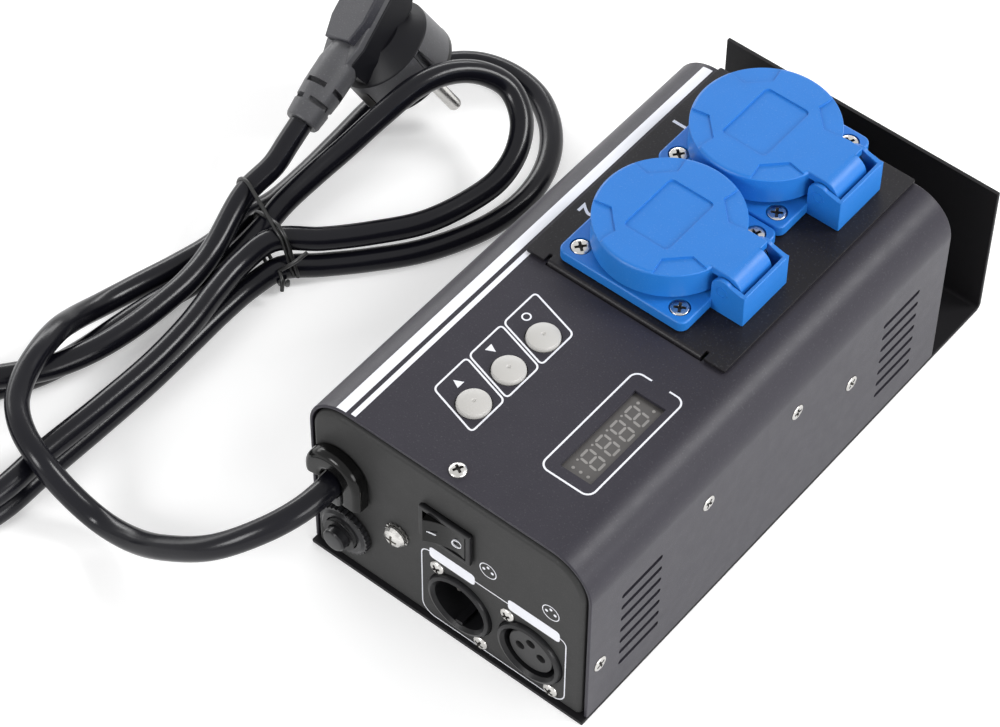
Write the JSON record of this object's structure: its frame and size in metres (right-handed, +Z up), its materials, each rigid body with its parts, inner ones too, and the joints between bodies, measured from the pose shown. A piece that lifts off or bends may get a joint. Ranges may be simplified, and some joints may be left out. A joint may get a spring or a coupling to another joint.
{
  "type": "dimmer pack",
  "caption": "Small stage dimmer in a folded steel housing on an L-shaped bracket, with lidded mains outlets, signal sockets, rocker, breaker, keys, display and a tied mains cord.",
  "frame": {"origin": "under the middle of the pack without its cord, at the underside of the bracket's plate", "axes": "+Z up, -Y out of the front panel, +X to the right seen from the front"},
  "size_m": [0.2428, 0.2958, 0.093],
  "materials": {
    "bracket_paint": "black powder coat, slightly rough",
    "tray_paint": "dark grey powder coat, fine texture",
    "cover_paint": "black powder coat, satin, fine texture",
    "outlet_plate_paint": "black satin paint",
    "blue_plastic": "moulded blue polyamide, satin",
    "black_plastic": "moulded black nylon, semi-matte",
    "rocker_plastic": "moulded black, polished",
    "grey_plastic": "moulded dark grey nylon",
    "button_plastic": "pale grey moulded caps, satin metallic sheen",
    "window_tint": "smoked translucent pane",
    "display_body": "seven-segment module, matt grey face",
    "board": "green solder resist on glass-fibre board",
    "terminal_plastic": "green moulded polyamide",
    "aluminium": "extruded, as drawn",
    "device_epoxy": "moulded epoxy package with a tinned tab",
    "winding": "enamelled copper wire over a ring core",
    "core_iron": "varnished iron laminations with a taped coil",
    "capacitor_sleeve": "shrunk plastic sleeve over a can",
    "steel": "zinc-plated steel",
    "contact_brass": "nickel-plated brass strip",
    "pin_nickel": "bright nickel-plated brass",
    "cord_sheath": "black extruded sheath, semi-gloss",
    "plug_plastic": "moulded dark grey thermoplastic",
    "tie_plastic": "black plastic-coated wire"
  },
  "bodies": {
    "pack": {"mounting_bracket": "bracket_paint", "chassis": "tray_paint", "top_cover": "cover_paint", "outlet_plate": "outlet_plate_paint", "socket_front": "blue_plastic", "socket_rear": "blue_plastic", "strain_relief": "black_plastic", "breaker_body": "black_plastic", "breaker_nut": "black_plastic", "rocker_housing": "black_plastic", "signal_in_shell": "black_plastic", "signal_out_shell": "black_plastic", "signal_out_insert": "black_plastic", "tactile_switch_1": "black_plastic", "tactile_switch_2": "black_plastic", "tactile_switch_3": "black_plastic", "strain_relief_jaw": "grey_plastic", "display_window": "window_tint", "display_module": "display_body", "control_board": "board", "power_board": "board", "terminal_block": "terminal_plastic", "heat_sink": "aluminium", "triac_1": "device_epoxy", "triac_2": "device_epoxy", "choke_1": "winding", "choke_2": "winding", "supply_transformer": "core_iron", "filter_capacitor": "capacitor_sleeve", "earth_screw": "steel", "earth_washer": "steel", "earth_nut": "steel", "hinge_pin_front": "steel", "hinge_pin_rear": "steel", "lid_spring_front": "steel", "lid_spring_rear": "steel", "earth_strap_front": "contact_brass", "earth_strap_rear": "contact_brass", "signal_in_insert": "contact_brass", "plug_earth_front": "contact_brass", "plug_earth_rear": "contact_brass", "plug_pin_left": "pin_nickel", "plug_pin_right": "pin_nickel", "cord_lead": "cord_sheath", "cord_hank": "cord_sheath", "cord_tail": "cord_sheath", "plug_body": "plug_plastic", "cord_tie": "tie_plastic"},
    "rocker": {"rocker": "rocker_plastic"},
    "button_1": {"button_1": "button_plastic"},
    "button_2": {"button_2": "button_plastic"},
    "button_3": {"button_3": "button_plastic"},
    "breaker_button": {"breaker_button": "black_plastic"},
    "lid_front": {"lid_front": "blue_plastic"},
    "lid_rear": {"lid_rear": "blue_plastic"}
  },
  "joints": [
    {"name": "rocker_pivot", "type": "hinge", "parent": "pack", "child": "rocker", "pos_m": [0.00085, -0.10065, 0.05165], "axis": [0, 0, 1], "range_deg": [-22, 0]},
    {"name": "button_1_press", "type": "slide", "parent": "pack", "child": "button_1", "axis": [0, 0, -1], "range_m": [0, 0.0008], "stiffness_N_per_m": 700, "springref_m": -0.0012},
    {"name": "button_2_press", "type": "slide", "parent": "pack", "child": "button_2", "axis": [0, 0, -1], "range_m": [0, 0.0008], "stiffness_N_per_m": 700, "springref_m": -0.0012},
    {"name": "button_3_press", "type": "slide", "parent": "pack", "child": "button_3", "axis": [0, 0, -1], "range_m": [0, 0.0008], "stiffness_N_per_m": 700, "springref_m": -0.0012},
    {"name": "breaker_reset", "type": "slide", "parent": "pack", "child": "breaker_button", "axis": [0, -1, 0], "range_m": [0, 0.0035]},
    {"name": "lid_front_hinge", "type": "hinge", "parent": "pack", "child": "lid_front", "pos_m": [0.024, 0.01025, 0.0864], "axis": [0, 1, 0], "range_deg": [0, 90], "stiffness_Nm_per_rad": 0.02, "springref_deg": -28.65},
    {"name": "lid_rear_hinge", "type": "hinge", "parent": "pack", "child": "lid_rear", "pos_m": [0.024, 0.05945, 0.0864], "axis": [0, 1, 0], "range_deg": [0, 90], "stiffness_Nm_per_rad": 0.02, "springref_deg": -28.65}
  ]
}
